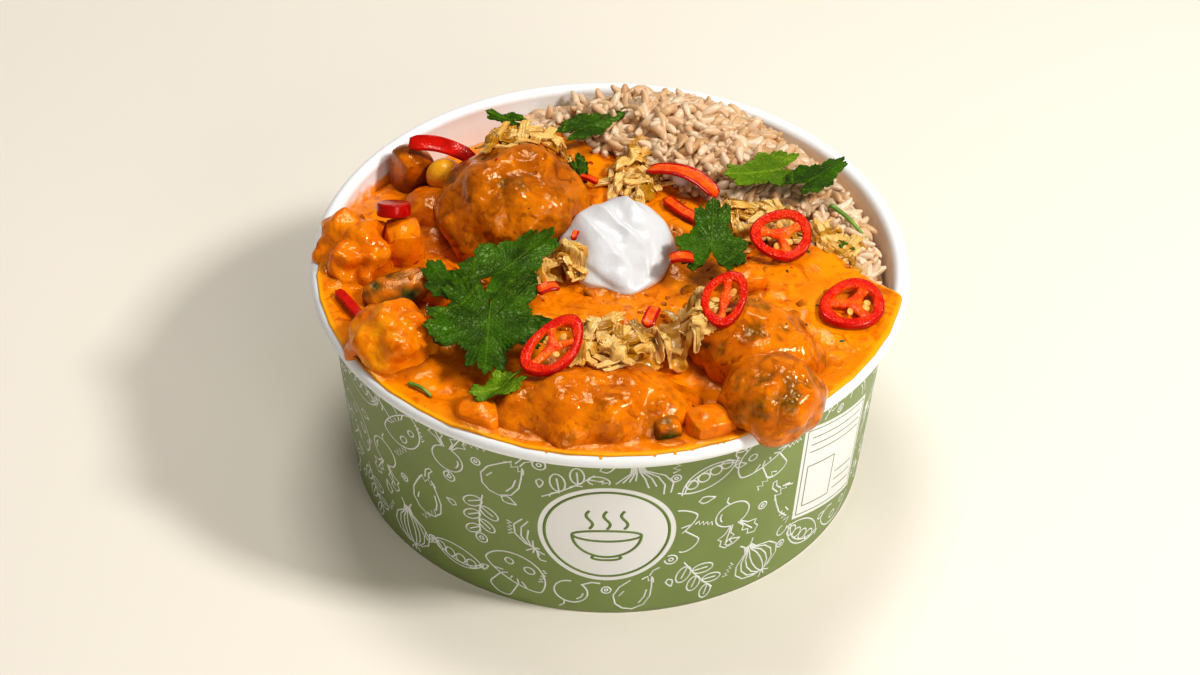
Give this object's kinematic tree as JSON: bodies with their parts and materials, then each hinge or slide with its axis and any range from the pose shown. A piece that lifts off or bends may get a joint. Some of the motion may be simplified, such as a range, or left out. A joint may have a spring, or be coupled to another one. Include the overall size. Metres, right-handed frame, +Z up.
{
  "type": "takeaway bowl of curry",
  "caption": "Round printed paper takeaway bowl filled with orange kofta and vegetable curry and brown rice, topped with yoghurt, sliced chilli, soft onion and coriander.",
  "frame": {"origin": "bottom centre of the bowl, on the surface it stands on", "axes": "+Z up along the bowl's axis, -Y towards the side shown at the front, +X to the right"},
  "size_m": [0.15, 0.15, 0.0794],
  "materials": {
    "white_paper": "satin white lining, printed outside",
    "curry_sauce": "glossy thick sauce",
    "brown_rice": "moist cooked grains",
    "sauced_kofta": "glossy sauce over browned pieces",
    "sauced_vegetable": "glossy sauce coat",
    "browned_wedge": "glossy, browned",
    "chickpea": "glossy, wet",
    "squash": "glossy, wet",
    "green_skin": "glossy skin",
    "yoghurt": "smooth, moist",
    "golden_onion": "soft, translucent, moist",
    "red_chilli": "glossy skin",
    "red_pepper": "glossy skin",
    "coriander_leaf": "fresh leaf, faint sheen",
    "coriander_stalk": "fresh stalk"
  },
  "bodies": {
    "root": {"aubergine_skin": "green_skin", "aubergine_wedge": "browned_wedge", "bowl_floor": "white_paper", "bowl_wall": "white_paper", "cauliflower_front": "sauced_vegetable", "cauliflower_left": "sauced_vegetable", "chickpea": "chickpea", "chilli_bit_front": "red_chilli", "chilli_bit_left": "red_chilli", "chilli_bit_middle": "red_chilli", "chilli_bit_rice": "red_chilli", "chilli_bit_yoghurt": "red_chilli", "chilli_ring_centre": "red_chilli", "chilli_ring_edge": "red_chilli", "chilli_ring_left": "red_chilli", "chilli_ring_right": "red_chilli", "chilli_slice_back": "red_chilli", "chilli_slice_front": "red_chilli", "chilli_slice_left": "red_chilli", "courgette_slice": "green_skin", "kofta_back": "sauced_kofta", "kofta_end": "sauced_kofta", "kofta_front": "sauced_kofta", "kofta_right": "sauced_kofta", "leaf_back": "coriander_leaf", "leaf_back_left": "coriander_leaf", "leaf_back_low": "coriander_leaf", "leaf_big": "coriander_leaf", "leaf_bit_right": "coriander_leaf", "leaf_centre": "coriander_leaf", "leaf_dark": "coriander_leaf", "leaf_right": "coriander_leaf", "leaf_right_outer": "coriander_leaf", "leaf_small": "coriander_leaf", "leaf_upper": "coriander_leaf", "onion_back": "golden_onion", "onion_centre": "golden_onion", "onion_edge": "golden_onion", "onion_front": "golden_onion", "onion_middle": "golden_onion", "onion_rice": "golden_onion", "onion_right": "golden_onion", "pepper_strip_back": "red_pepper", "pepper_strip_left": "red_pepper", "potato_cube": "sauced_vegetable", "rice": "brown_rice", "sauce": "curry_sauce", "squash_cube_centre": "squash", "squash_cube_front": "squash", "squash_cube_left": "squash", "squash_drop": "squash", "stalk_front": "coriander_stalk", "stalk_right": "coriander_stalk", "vegetable_back": "sauced_vegetable", "vegetable_left": "sauced_vegetable", "yoghurt": "yoghurt", "yoghurt_splash": "yoghurt"}
  },
  "joints": []
}
